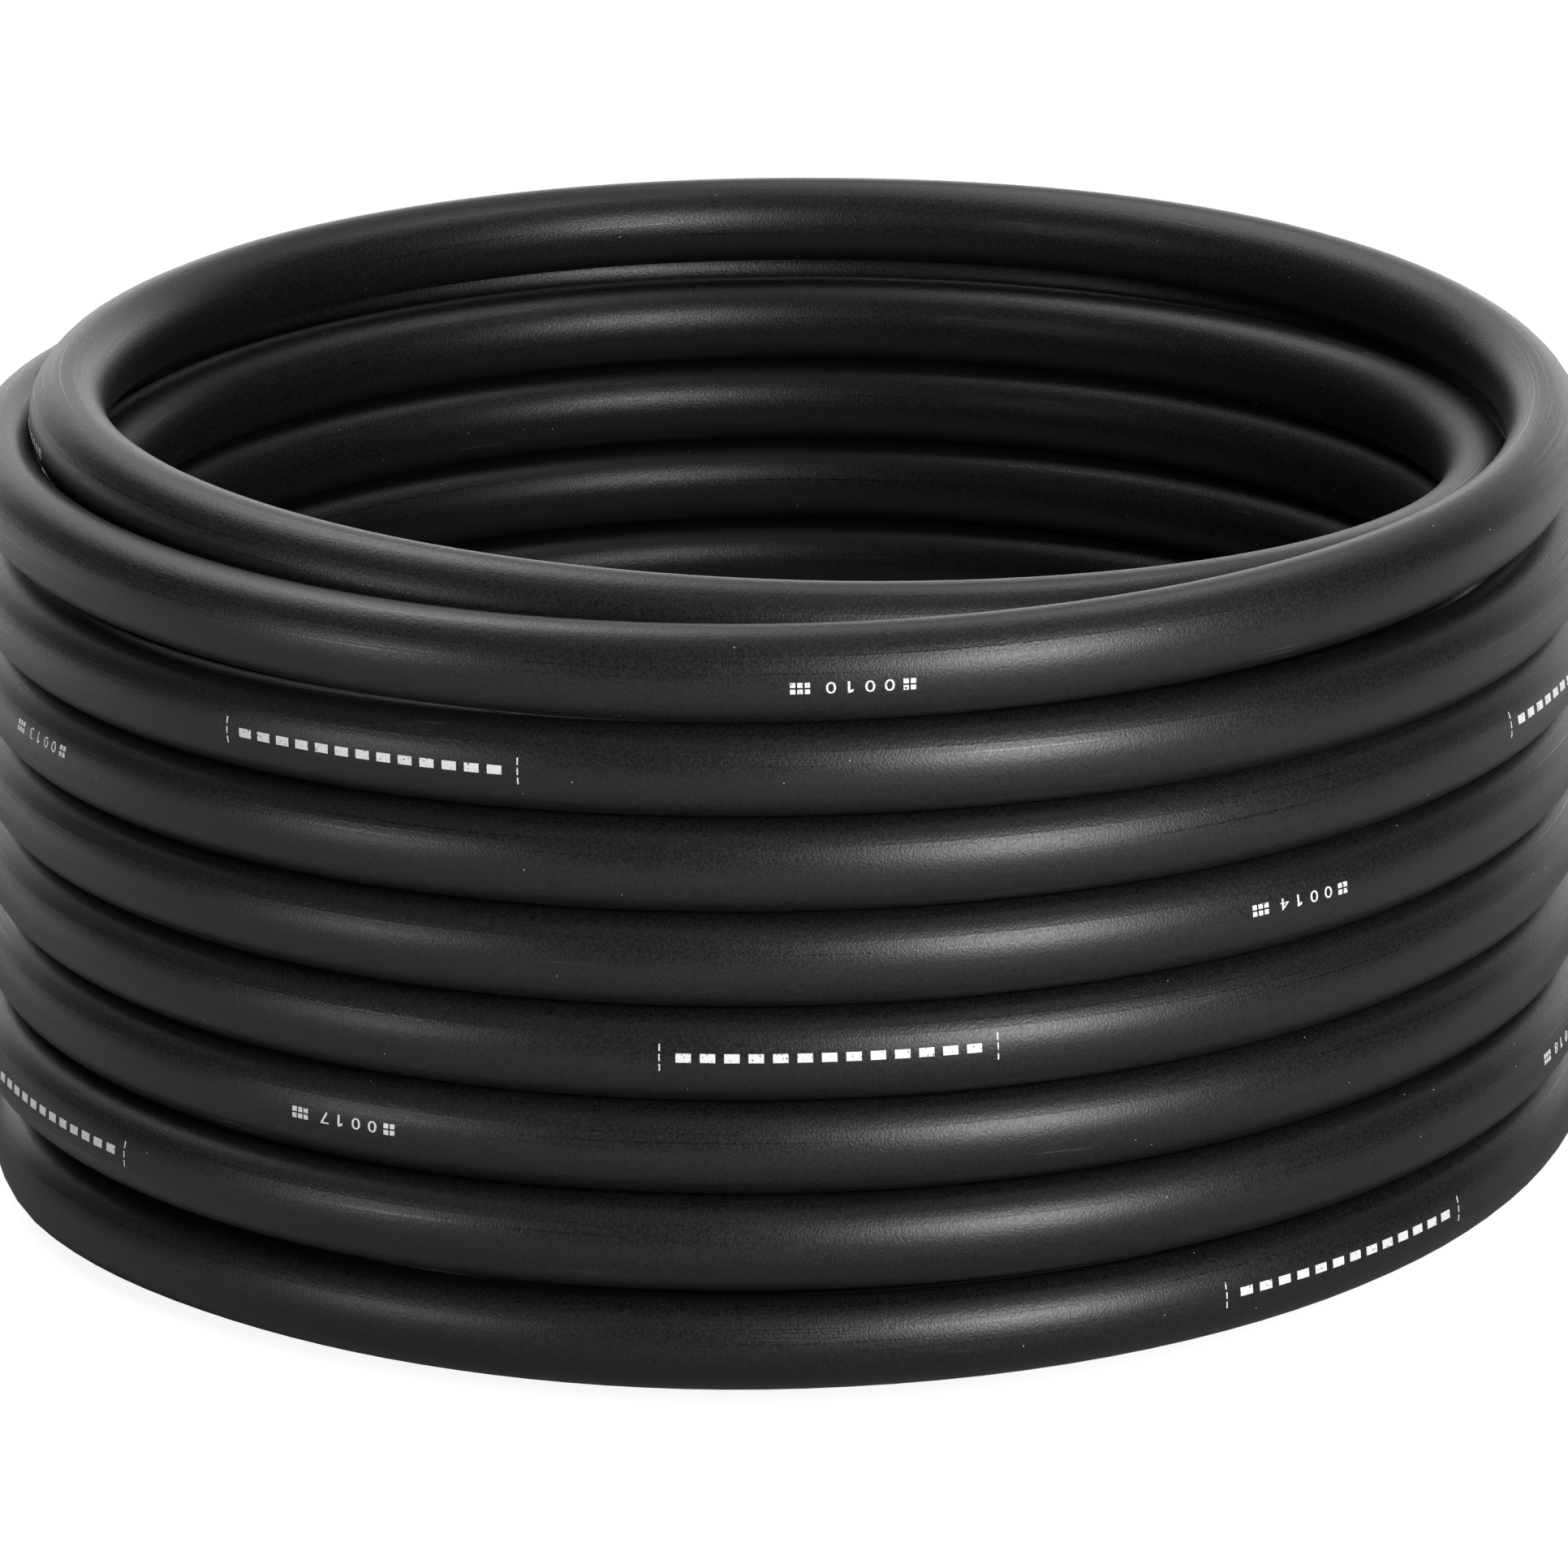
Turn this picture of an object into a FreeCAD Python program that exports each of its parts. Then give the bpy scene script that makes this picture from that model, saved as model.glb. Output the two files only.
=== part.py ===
import FreeCAD, Part
import math
import os

# A free-standing coil of plain polyethylene irrigation pipe, wound in two layers from one length.
# The inner layer climbs from the floor, the pipe rolls over the top turn, and the outer layer comes
# down round it. Millimetres, +Z up, origin on the floor at the coil's axis, -Y the side that faces
# the viewer. The winding runs front, left, back, right, which is clockwise seen from above.

# Pipe
PIPE_DIAMETER = 25.0
WALL = 2.3
SECTION_SIDES = 6

# Coil
OUTER_RADIUS = 218.5
INNER_TURN_GAP = 0.8
OUTER_TURN_GAP = 1.3
LAYER_GAP = 0.6
INNER_PITCHES = 7
OUTER_QUARTERS = 29
REST_CUT = 0.1

# Crossover at the top, a quarter turn apart from the right side on: how far the pipe lies inside
# the outer layer, and how far above the inner layer's top turn
CROSSOVER_INSETS = [25.6, 25.6, 18.7, 24.3, 7.2]
CROSSOVER_LIFTS = [4.0, 17.6, 26.6, 30.6, 28.0]

# Free ends
END_RUN_DIAMETERS = 1.0
BORED_LENGTH = 60.0
INNER_END_RADIUS = 150.0
INNER_END_LEAN = 22.0

# Measuring
SAMPLE_STEP = 5.0
SAME_STRETCH = 150.0

PIPE_RADIUS = PIPE_DIAMETER / 2
BORE_RADIUS = PIPE_RADIUS - WALL
INNER_PITCH = PIPE_DIAMETER + INNER_TURN_GAP
OUTER_PITCH = PIPE_DIAMETER + OUTER_TURN_GAP
INNER_RADIUS = OUTER_RADIUS - PIPE_DIAMETER - LAYER_GAP
QUARTER = math.pi / 2
QUARTER_DROP = OUTER_PITCH / 4
END_RUN = PIPE_DIAMETER * END_RUN_DIAMETERS

# Heights of the pipe's centre line: where it is cut flat to rest, and where it lies whole
REST_HEIGHT = PIPE_RADIUS - PIPE_DIAMETER * REST_CUT
LYING_HEIGHT = PIPE_RADIUS

Vector = FreeCAD.Vector


def station(quarter, radius, height, drift=0.0, climb=0.0):
    """A place on the route and its heading; drift and climb are per quarter turn."""
    turned = (quarter + 1) * QUARTER
    outward = Vector(-math.sin(turned), -math.cos(turned), 0)
    onward = Vector(-math.cos(turned), math.sin(turned), 0)
    place = outward * radius + Vector(0, 0, height)
    heading = outward * drift + onward * (radius * QUARTER) + Vector(0, 0, climb)
    return place, heading.normalize()


def inner_layer():
    """Stations of the inner layer: level round the back, climbing one pitch across the front."""
    lean = INNER_END_RADIUS * QUARTER * math.tan(math.radians(INNER_END_LEAN))
    stations = [station(INNER_END_LEAN / 90, INNER_END_RADIUS, LYING_HEIGHT, drift=lean)]
    for turn in range(INNER_PITCHES + 1):
        level = REST_HEIGHT + turn * INNER_PITCH
        if turn > 0:
            stations.append(station(4 * turn, INNER_RADIUS, level))
        stations.append(station(4 * turn + 1, INNER_RADIUS, level))
        if turn < INNER_PITCHES:
            stations.append(station(4 * turn + 2, INNER_RADIUS, level))
            stations.append(station(4 * turn + 3, INNER_RADIUS, level + INNER_PITCH / 2,
                                    climb=INNER_PITCH))
    return stations


def outer_layer(first_quarter):
    """Stations of the outer layer: an even spiral that ends lying on the floor."""
    stations = []
    for step in range(OUTER_QUARTERS + 1):
        height = LYING_HEIGHT + (OUTER_QUARTERS - step) * QUARTER_DROP
        last = step == OUTER_QUARTERS
        climb = 0.0 if last else -QUARTER_DROP
        stations.append(station(first_quarter + step, OUTER_RADIUS, height, climb=climb))
    return stations


def crossover(first_quarter, first_outer_height):
    """Stations where the pipe rolls over the top turn, each sloped to suit its neighbours."""
    base = REST_HEIGHT + INNER_PITCHES * INNER_PITCH
    radii = [INNER_RADIUS] + [OUTER_RADIUS - inset for inset in CROSSOVER_INSETS] + [OUTER_RADIUS]
    heights = [base] + [base + lift for lift in CROSSOVER_LIFTS] + [first_outer_height]
    stations = []
    for step in range(len(CROSSOVER_INSETS)):
        drift = (radii[step + 2] - radii[step]) / 2
        climb = (heights[step + 2] - heights[step]) / 2
        stations.append(station(first_quarter + step, radii[step + 1], heights[step + 1],
                                drift=drift, climb=climb))
    return stations


def arc(start, heading, end):
    """The arc that leaves start along heading and reaches end."""
    chord = end - start
    inward = heading.cross(chord).cross(heading).normalize()
    radius = chord.dot(chord) / (2 * chord.dot(inward))
    centre = start + inward * radius
    middle = centre + ((start + end) * 0.5 - centre).normalize() * radius
    return Part.Arc(start, middle, end).toShape()


def biarc(start, start_heading, end, end_heading):
    """Two arcs that join two stations smoothly."""
    chord = end - start
    both = start_heading + end_heading
    spread = 2 * (1 - start_heading.dot(end_heading))
    along = chord.dot(both)
    reach = (math.sqrt(along ** 2 + spread * chord.dot(chord)) - along) / spread
    first_corner = start + start_heading * reach
    second_corner = end - end_heading * reach
    joint = (first_corner + second_corner) * 0.5
    return [arc(start, start_heading, joint),
            arc(joint, (second_corner - first_corner).normalize(), end)]


def route(stations):
    """The pipe's centre line: a straight run, the turns, and a straight run."""
    first_place, first_heading = stations[0]
    last_place, last_heading = stations[-1]
    edges = [Part.LineSegment(first_place - first_heading * END_RUN, first_place).toShape()]
    for here, there in zip(stations, stations[1:]):
        edges += biarc(*here, *there)
    edges.append(Part.LineSegment(last_place, last_place + last_heading * END_RUN).toShape())
    return edges


def square_section(place, heading):
    """The pipe's faceted outline, square to its route."""
    side = heading.cross(Vector(0, 0, 1)).normalize()
    up = side.cross(heading)
    corners = []
    for k in range(SECTION_SIDES + 1):
        turn = 2 * math.pi * k / SECTION_SIDES
        corners.append(place + side * (PIPE_RADIUS * math.cos(turn)) + up * (PIPE_RADIUS * math.sin(turn)))
    return Part.makePolygon(corners)


def coiled_pipe(edges, stations):
    """The whole winding as one unbroken tube, cut flat where it rests on the floor."""
    first_place, first_heading = stations[0]
    sweep = Part.BRepOffsetAPI.MakePipeShell(Part.Wire(edges))
    sweep.add(square_section(first_place - first_heading * END_RUN, first_heading))
    sweep.build()
    sweep.makeSolid()
    reach = OUTER_RADIUS + PIPE_DIAMETER
    below = Part.makeBox(2 * reach, 2 * reach, PIPE_DIAMETER, Vector(-reach, -reach, -PIPE_DIAMETER))
    return sweep.shape().cut(below).Solids[0]


def pipe_end(place, direction):
    """A straight bored length of pipe, from the coil's end face to its saw cut."""
    start = place + direction * END_RUN
    outside = Part.makeCylinder(PIPE_RADIUS, BORED_LENGTH, start, direction)
    return outside.cut(Part.makeCylinder(BORE_RADIUS, BORED_LENGTH, start, direction))


def least_gap(edges):
    """The least clear distance between two turns, from points against the chords between points."""
    points = []
    for edge in edges:
        count = max(2, math.ceil(edge.Length / SAMPLE_STEP) + 1)
        points += edge.discretize(Number=count)[:-1]
    apart = int(SAME_STRETCH / SAMPLE_STEP)
    near = 2 * PIPE_DIAMETER
    least = near
    where = points[0]
    for i, p in enumerate(points):
        for j in range(i + apart, len(points) - 1):
            a = points[j]
            if abs(a.x - p.x) > near or abs(a.y - p.y) > near or abs(a.z - p.z) > near:
                continue
            b = points[j + 1]
            chord = b - a
            share = min(1.0, max(0.0, (p - a).dot(chord) / chord.dot(chord)))
            distance = (a + chord * share - p).Length
            if distance < least:
                least = distance
                where = p
    return least - PIPE_DIAMETER, where


def report(edges, solid):
    """Prints the lengths, radii and gaps that decide whether the winding is sound."""
    length = sum(edge.Length for edge in edges)
    area = SECTION_SIDES / 2 * PIPE_RADIUS ** 2 * math.sin(2 * math.pi / SECTION_SIDES)
    radii = [edge.Curve.Radius for edge in edges[1:-1]]
    gap, where = least_gap(edges)
    print("pipe length with both ends, mm:", round(length + 2 * BORED_LENGTH, 1))
    print("bend radii, least and most, mm:", round(min(radii), 1), round(max(radii), 1))
    print("least gap between turns, mm:", round(gap, 2), "near", [round(c) for c in where])
    print("coil volume over section times length:", round(solid.Volume / (area * length), 4))


layers = inner_layer()
descent = outer_layer(len(layers) + len(CROSSOVER_INSETS))
layers += crossover(len(layers), descent[0][0].z)
layers += descent
path = route(layers)
coil = coiled_pipe(path, layers)
report(path, coil)

inner_place, inner_heading = layers[0]
outer_place, outer_heading = layers[-1]
nodes = {
    "coiled_pipe": coil,
    "inner_pipe_end": pipe_end(inner_place, inner_heading * -1),
    "outer_pipe_end": pipe_end(outer_place, outer_heading),
}

os.makedirs("parts", exist_ok=True)
for name, shape in nodes.items():
    shape.exportStep("parts/" + name + ".step")
    box = shape.BoundBox
    print(name, "valid", shape.isValid(), "solids", len(shape.Solids), "faces", len(shape.Faces),
          "box", [round(v, 1) for v in (box.XMin, box.YMin, box.ZMin, box.XMax, box.YMax, box.ZMax)])
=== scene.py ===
import math

import bmesh
import bpy
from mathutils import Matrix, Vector


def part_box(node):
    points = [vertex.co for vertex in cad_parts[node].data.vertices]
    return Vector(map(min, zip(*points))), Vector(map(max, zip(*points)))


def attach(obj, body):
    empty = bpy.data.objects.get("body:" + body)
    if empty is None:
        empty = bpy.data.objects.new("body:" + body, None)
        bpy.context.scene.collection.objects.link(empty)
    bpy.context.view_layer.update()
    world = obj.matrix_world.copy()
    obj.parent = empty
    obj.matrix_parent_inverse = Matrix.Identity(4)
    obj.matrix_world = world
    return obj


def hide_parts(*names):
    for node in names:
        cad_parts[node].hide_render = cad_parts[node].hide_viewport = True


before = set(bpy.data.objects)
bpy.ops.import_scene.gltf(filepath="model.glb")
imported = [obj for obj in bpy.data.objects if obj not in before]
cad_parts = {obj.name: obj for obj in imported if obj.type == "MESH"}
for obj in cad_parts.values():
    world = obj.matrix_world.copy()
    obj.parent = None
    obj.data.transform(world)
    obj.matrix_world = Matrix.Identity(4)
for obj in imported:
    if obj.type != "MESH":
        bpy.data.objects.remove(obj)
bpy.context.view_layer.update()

# The view
# A long lens a little above the coil's rim looks down into the eye. The coil fills the picture
# from side to side and stands in the middle of its height.
AIM = Vector((-0.0002, 0.0, 0.1030))
VIEW_DISTANCE = 2.156
VIEW_ELEVATION = math.radians(17.8)
LENS = 173.1
SENSOR_WIDTH = 36.0
FARTHEST_SEEN = 60.0

camera_data = bpy.data.cameras.new("photo_camera")
camera_data.lens = LENS
camera_data.sensor_width = SENSOR_WIDTH
camera_data.clip_end = FARTHEST_SEEN
camera = bpy.data.objects.new("photo_camera", camera_data)
bpy.context.scene.collection.objects.link(camera)
backwards = Vector((0.0, -math.cos(VIEW_ELEVATION), math.sin(VIEW_ELEVATION)))
camera.location = AIM + backwards * VIEW_DISTANCE
camera.rotation_mode = "QUATERNION"
camera.rotation_quaternion = (-backwards).to_track_quat("-Z", "Y")
bpy.context.scene.camera = camera

# The coiled pipe
# One unbroken length of 25 mm black polyethylene pipe, drawn smooth and wound in two layers round
# an open eye. The inner layer climbs from the floor, the pipe rolls over its own top turn, and the
# outer layer comes down round it. Bending has left it slightly oval: narrower across than high.
END_RADIUS = 0.0125
WALL = 0.0023
HALF_WIDTH = 0.01075
HALF_HEIGHT = 0.0127
ROUND_AGAIN = 0.1

INNER_RADIUS = 0.1965
INNER_PITCH = 0.0254
INNER_PITCHES = 7
INNER_END_RADIUS = 0.150
INNER_END_LEAN = 22.0
# How a turn climbs: quarter of the turn, share of a pitch, slope. The first two climb later.
EVEN_CLIMB = [(2, 0.20, 0.30), (3, 0.58, 0.36), (4, 0.90, 0.21)]
LEVEL_SLOPE = 0.07
LATE_CLIMBS = [[(2, 0.05, 0.06), (3, 0.15, 0.35), (4, 0.73, 0.45)],
               [(2, 0.13, 0.18), (3, 0.42, 0.40), (4, 0.78, 0.35)]]
OUTER_RADIUS = 0.2185

# How the pipe rolls over its own top turn: quarter turns from the start, radius, height
CROSSOVER = [
    (30, 0.1955, 0.1960),
    (31, 0.1955, 0.2078),
    (32, 0.2011, 0.2178),
    (32.4, 0.1990, 0.2195),
    (33, 0.2005, 0.2205),
    (33.5, 0.2055, 0.2205),
    (34, 0.2123, 0.2147),
    (34.5, 0.2175, 0.2080),
    (35, 0.2200, 0.2033),
    (36, 0.2192, 0.2029),
    (37, 0.2190, 0.2003),
    (37.5, 0.2182, 0.1983),
    (38, 0.2175, 0.1842),
]
# The lowest outer turn, which nothing holds in, spreads a little and settles on the floor
LOWEST_TURN = [
    (60, 0.2230, 0.0425),
    (61, 0.2220, 0.0362),
    (62, 0.2210, 0.0300),
    (63, 0.2195, 0.0203),
    (63.45, 0.2174, 0.0162),
    (63.78, 0.2217, 0.0137),
    (64, 0.2185, 0.0126),
]
SPREAD_STARTS = 54
# How much higher than an even spiral the upper outer turns stand at the back, below the crossover
BACK_LIFTS = {41: 0.0060, 45: 0.0035, 49: 0.0015}

POINTS_PER_QUARTER = 6
SPLINE_ORDER = 3
SPLINE_STEPS = 5
OUTSIDE_SIDES = 32
BORE_SIDES = 16
# A ring this close to each end keeps the flat end face's shading off the round outside
END_RING = 0.0001

QUARTER = math.pi / 2
# A spline of this order runs inside its control points by this share of a turn's radius
SPLINE_REACH = 1 / math.cos(QUARTER / POINTS_PER_QUARTER / 2)


def inner_layer():
    """Stations (quarter, radius, height, drift, climb): level at the back, climbing in front."""
    lean = INNER_END_RADIUS * QUARTER * math.tan(math.radians(INNER_END_LEAN))
    stations = [(INNER_END_LEAN / 90, INNER_END_RADIUS, HALF_HEIGHT, lean, 0.0)]
    for turn in range(INNER_PITCHES + 1):
        level = HALF_HEIGHT + turn * INNER_PITCH
        late = turn < len(LATE_CLIMBS)
        climbs = [(1, 0.0, 0.0 if late else LEVEL_SLOPE)]
        if turn < INNER_PITCHES:
            climbs += LATE_CLIMBS[turn] if late else EVEN_CLIMB
        for quarter, share, slope in climbs:
            stations.append((4 * turn + quarter, INNER_RADIUS, level + share * INNER_PITCH,
                             0.0, slope * INNER_PITCH))
    return stations


def outer_layer():
    """Places (quarter, radius, height) of the outer layer between the crossover and the lowest turn."""
    first, last = CROSSOVER[-1], LOWEST_TURN[0]
    places = []
    for quarter in range(first[0] + 1, last[0]):
        share = (quarter - first[0]) / (last[0] - first[0])
        spread = max(0.0, (quarter - SPREAD_STARTS) / (last[0] - SPREAD_STARTS)) ** 2
        places.append((quarter, OUTER_RADIUS + spread * (last[1] - OUTER_RADIUS),
                       first[2] + share * (last[2] - first[2]) + BACK_LIFTS.get(quarter, 0.0)))
    return places


def sloped(before, places):
    """Stations at these places, each sloped to suit its neighbours; the last one lies level."""
    row = [before[:3]] + places
    stations = []
    for k in range(1, len(row) - 1):
        back, here, on = row[k - 1:k + 2]
        gone, to_go = here[0] - back[0], on[0] - here[0]
        slopes = [((here[i] - back[i]) / gone * to_go + (on[i] - here[i]) / to_go * gone) / (gone + to_go)
                  for i in (1, 2)]
        stations.append((*here, *slopes))
    drift = (row[-1][1] - row[-2][1]) / (row[-1][0] - row[-2][0])
    return stations + [(*row[-1], drift, 0.0)]


def eased(share, start, end, start_slope, end_slope):
    """A smooth value between two stations."""
    left = 1 - share
    return ((1 + 2 * share) * left ** 2 * start + (3 - 2 * share) * share ** 2 * end
            + share * left ** 2 * start_slope - left * share ** 2 * end_slope)


def coil_place(quarter, radius, height):
    """A point at a number of quarter turns, clockwise seen from above, 0 being the left side."""
    turned = (quarter + 1) * QUARTER
    return Vector((-radius * math.sin(turned), -radius * math.cos(turned), height))


def route_points():
    """Control points of the pipe's centre line, from the inner end's cut piece to the outer one's."""
    inner = inner_layer()
    stations = inner + sloped(inner[-1], CROSSOVER + outer_layer() + LOWEST_TURN)
    low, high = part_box("inner_pipe_end")
    inner_axis = Vector(((low.x + high.x) / 2, high.y, (low.z + high.z) / 2))
    straight = coil_place(*stations[0][:3]).y
    points = [inner_axis, Vector((inner_axis.x, straight, inner_axis.z))]
    for here, there in zip(stations, stations[1:]):
        span = there[0] - here[0]
        first = 1 if here is stations[0] else 0
        count = round(span * POINTS_PER_QUARTER)
        for step in range(first, count):
            share = step / count
            radius = eased(share, here[1], there[1], here[3] * span, there[3] * span)
            height = eased(share, here[2], there[2], here[4] * span, there[4] * span)
            points.append(coil_place(here[0] + share * span, radius * SPLINE_REACH, height))
    low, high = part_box("outer_pipe_end")
    outer_axis = Vector(((low.x + high.x) / 2, low.y, (low.z + high.z) / 2))
    points += [Vector((outer_axis.x, 0.0, outer_axis.z)), outer_axis]
    return points


def centre_line(points):
    """Points of the smooth spline through the route's control points, with no thickness."""
    curve = bpy.data.curves.new("route", "CURVE")
    curve.dimensions = "3D"
    curve.resolution_u = SPLINE_STEPS
    spline = curve.splines.new("NURBS")
    spline.points.add(len(points) - 1)
    for control, place in zip(spline.points, points):
        control.co = (*place, 1.0)
    spline.order_u = SPLINE_ORDER
    spline.use_endpoint_u = True
    holder = bpy.data.objects.new("route", curve)
    bpy.context.scene.collection.objects.link(holder)
    bpy.context.view_layer.update()
    mesh = bpy.data.meshes.new_from_object(holder.evaluated_get(bpy.context.evaluated_depsgraph_get()))
    line = [v.co.copy() for v in mesh.vertices]
    line.insert(1, line[0] + (line[1] - line[0]).normalized() * END_RING)
    line.insert(-1, line[-1] + (line[-2] - line[-1]).normalized() * END_RING)
    bpy.data.objects.remove(holder)
    bpy.data.meshes.remove(mesh)
    return line


def distances_along(line):
    """How far along the line each of its points lies."""
    far = [0.0]
    for here, there in zip(line, line[1:]):
        far.append(far[-1] + (there - here).length)
    return far


def pipe_mesh(name, line, starts_at, sections):
    """A hollow pipe along line; sections holds its half width and half height at each point."""
    vertices = []
    faces = []
    places = []
    far = distances_along(line)

    def ring(index, thinner, sides):
        """One ring of vertices, upright whichever way the pipe heads; returns the first's index."""
        ahead = line[min(index + 1, len(line) - 1)] - line[max(index - 1, 0)]
        out = Vector((0, 0, 1)).cross(ahead).normalized()
        up = ahead.cross(out).normalized()
        half_width, half_height = sections[index]
        first = len(vertices)
        for k in range(sides):
            turn = 2 * math.pi * k / sides
            vertices.append(line[index] + out * ((half_width - thinner) * math.cos(turn))
                            + up * ((half_height - thinner) * math.sin(turn)))
        return first

    def wall(thinner, sides, outwards):
        """A tube of rings; returns the first and the last ring."""
        rings = [ring(index, thinner, sides) for index in range(len(line))]
        for index in range(len(line) - 1):
            for k in range(sides):
                here, there = rings[index], rings[index + 1]
                after = (k + 1) % sides
                face = [here + k, there + k, there + after, here + after]
                along = [starts_at + far[index], starts_at + far[index + 1]]
                around = [k / sides, (k + 1) / sides]
                corners = [(along[0], around[0]), (along[1], around[0]),
                           (along[1], around[1]), (along[0], around[1])]
                faces.append(face if outwards else face[::-1])
                places.append(corners if outwards else corners[::-1])
        return rings[0], rings[-1]

    outside = wall(0.0, OUTSIDE_SIDES, True)
    bore = wall(WALL, BORE_SIDES, False)
    first_end_face = len(faces)
    each = OUTSIDE_SIDES // BORE_SIDES
    for end, (outer, inner) in enumerate(zip(outside, bore)):
        for k in range(BORE_SIDES):
            after = (k + 1) % BORE_SIDES
            face = [inner + k]
            face += [outer + (each * k + j) % OUTSIDE_SIDES for j in range(each + 1)]
            face.append(inner + after)
            faces.append(face if end == 0 else face[::-1])
            places.append([(starts_at + far[-end], 0.0)] * len(face))

    mesh = bpy.data.meshes.new(name)
    mesh.from_pydata(vertices, [], faces)
    layer = mesh.uv_layers.new(name="along_and_around")
    for face, corners in zip(mesh.polygons, places):
        for loop, corner in zip(face.loop_indices, corners):
            layer.data[loop].uv = corner
    mesh.shade_smooth()
    for face in mesh.polygons[first_end_face:]:
        face.use_smooth = False
    return mesh


route = route_points()
coil_line = centre_line(route)
coil_length = distances_along(coil_line)[-1]


def coil_sections(line):
    """Oval round the coil, and round towards each free end."""
    far = distances_along(line)
    sections = []
    for distance in far:
        share = min(1.0, distance / ROUND_AGAIN, (far[-1] - distance) / ROUND_AGAIN)
        oval = share * share * (3 - 2 * share)
        sections.append((END_RADIUS + (HALF_WIDTH - END_RADIUS) * oval,
                         END_RADIUS + (HALF_HEIGHT - END_RADIUS) * oval))
    return sections


def add(tree, kind, sockets, **settings):
    """A node with its settings, and its sockets' values or the links that reach them."""
    made = tree.nodes.new(kind)
    for name, value in settings.items():
        setattr(made, name, value)
    for socket, value in sockets.items():
        if isinstance(value, bpy.types.NodeSocket):
            tree.links.new(value, made.inputs[socket])
        else:
            made.inputs[socket].default_value = value
    return made


def sum_of(tree, operation, *values):
    """One sum on values that change over a surface, such as ADD or MULTIPLY_ADD."""
    return add(tree, "ShaderNodeMath", dict(enumerate(values)), operation=operation).outputs[0]


def faded(tree, value, start, end, low=0.0, high=1.0):
    """A value that goes softly from low to high while another goes from start to end."""
    return add(tree, "ShaderNodeMapRange", {"Value": value, "From Min": start, "From Max": end,
                                            "To Min": low, "To Max": high},
               interpolation_type="SMOOTHSTEP").outputs[0]


def coloured(tree, mask, under, over):
    """The colour under, with the colour over where the mask is 1."""
    return add(tree, "ShaderNodeMix", {0: mask, 6: under, 7: over}, data_type="RGBA").outputs[2]


def bumped(tree, height):
    """The normal of a surface that goes up and down by a height in metres."""
    return add(tree, "ShaderNodeBump", {"Strength": 1.0, "Distance": 1.0, "Height": height}).outputs[0]


# The finest unevenness that the die and the cooling bath leave: its height in metres, and a tone
# from 0 to 1 that varies with it
GRAIN_SIZE = 0.00070
GRAIN_HEIGHT = 0.000090
GRAIN_DETAIL = 1.5
GRAIN_HARSHNESS = 0.6
# The values of the noise at which the tone is 0 and 1
GRAIN_TONE = (0.25, 0.75)
grain = bpy.data.node_groups.new("polyethylene_grain", "ShaderNodeTree")
grain.interface.new_socket("Place", in_out="INPUT", socket_type="NodeSocketVector")
grain.interface.new_socket("Size", in_out="INPUT", socket_type="NodeSocketFloat")
grain.interface.new_socket("Depth", in_out="INPUT", socket_type="NodeSocketFloat")
grain.interface.new_socket("Height", in_out="OUTPUT", socket_type="NodeSocketFloat")
grain.interface.new_socket("Tone", in_out="OUTPUT", socket_type="NodeSocketFloat")
given = grain.nodes.new("NodeGroupInput").outputs
fine = add(grain, "ShaderNodeTexNoise", {"Vector": given["Place"],
                                         "Scale": sum_of(grain, "DIVIDE", 1.0, given["Size"]),
                                         "Detail": GRAIN_DETAIL, "Roughness": GRAIN_HARSHNESS}).outputs[0]
result = grain.nodes.new("NodeGroupOutput").inputs
grain.links.new(sum_of(grain, "MULTIPLY", fine, given["Depth"]), result["Height"])
grain.links.new(faded(grain, fine, *GRAIN_TONE), result["Tone"])

# The black polyethylene as it is extruded: nearly black all through, satin, finely grained, with
# drag lines along the pipe, two die lines, rubbed places, pits and a little dust
BLACK = (0.0025, 0.0025, 0.0025, 1)
GREYER_BLACK = (0.0120, 0.0120, 0.0120, 1)
RUBBED = (0.055, 0.055, 0.055, 1)
RUBBED_COVERS = 0.7
PIT = (0.002, 0.002, 0.002, 1)
DUST = (0.42, 0.42, 0.41, 1)
# Heights in metres, up or down from the smooth surface
DRAG_LINE_HEIGHT = 0.000003
BROAD_BAND_HEIGHT = 0.00003
SCRATCH_HEIGHT = 0.000006
PIT_HEIGHT = -0.00005
DUST_HEIGHT = 0.00004
# The way round the oval section, and the die lines: share of that way, half width, height
ROUND_THE_PIPE = 0.074
DIE_LINES = [(0.088, 0.00060, -0.000022), (0.945, 0.00070, 0.000012)]
DIE_LINES_WANDER = 0.012
WANDERS_A_METRE = 2.2
# The values of a noise between 0 and 1 at which each thing begins to show and shows in full
POLISHED_LINES_SHOW = (0.70, 0.80)
TOUCHING_SHOWS = (0.56, 0.72)
PATCHES_SHOW = (0.70, 0.80)
SCRATCHES_SHOW = (0.52, 0.68)
# A speck shows in full out to this share of its radius
SPECK_CORE = 0.6
# Roughness where the tone and the drag lines are in the middle, and what each thing adds to it
SATIN = 0.40
TONE_DULLS = 0.09
DRAG_LINES_DULL = 0.08
POLISH_DULLS = -0.13
RUBBING_DULLS = 0.18
pipe_material = bpy.data.materials.new("black_polyethylene")
pipe_material.use_nodes = True
pipe_tree = pipe_material.node_tree
shader = pipe_tree.nodes["Principled BSDF"]
place = add(pipe_tree, "ShaderNodeTexCoord", {}).outputs["Object"]
on_pipe = add(pipe_tree, "ShaderNodeSeparateXYZ",
              {0: add(pipe_tree, "ShaderNodeUVMap", {}, uv_map="along_and_around").outputs[0]}).outputs
along, around = on_pipe["X"], on_pipe["Y"]
turned = sum_of(pipe_tree, "MULTIPLY", around, 2 * math.pi)
sideways = sum_of(pipe_tree, "COSINE", turned)
upwards = sum_of(pipe_tree, "SINE", turned)


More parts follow.
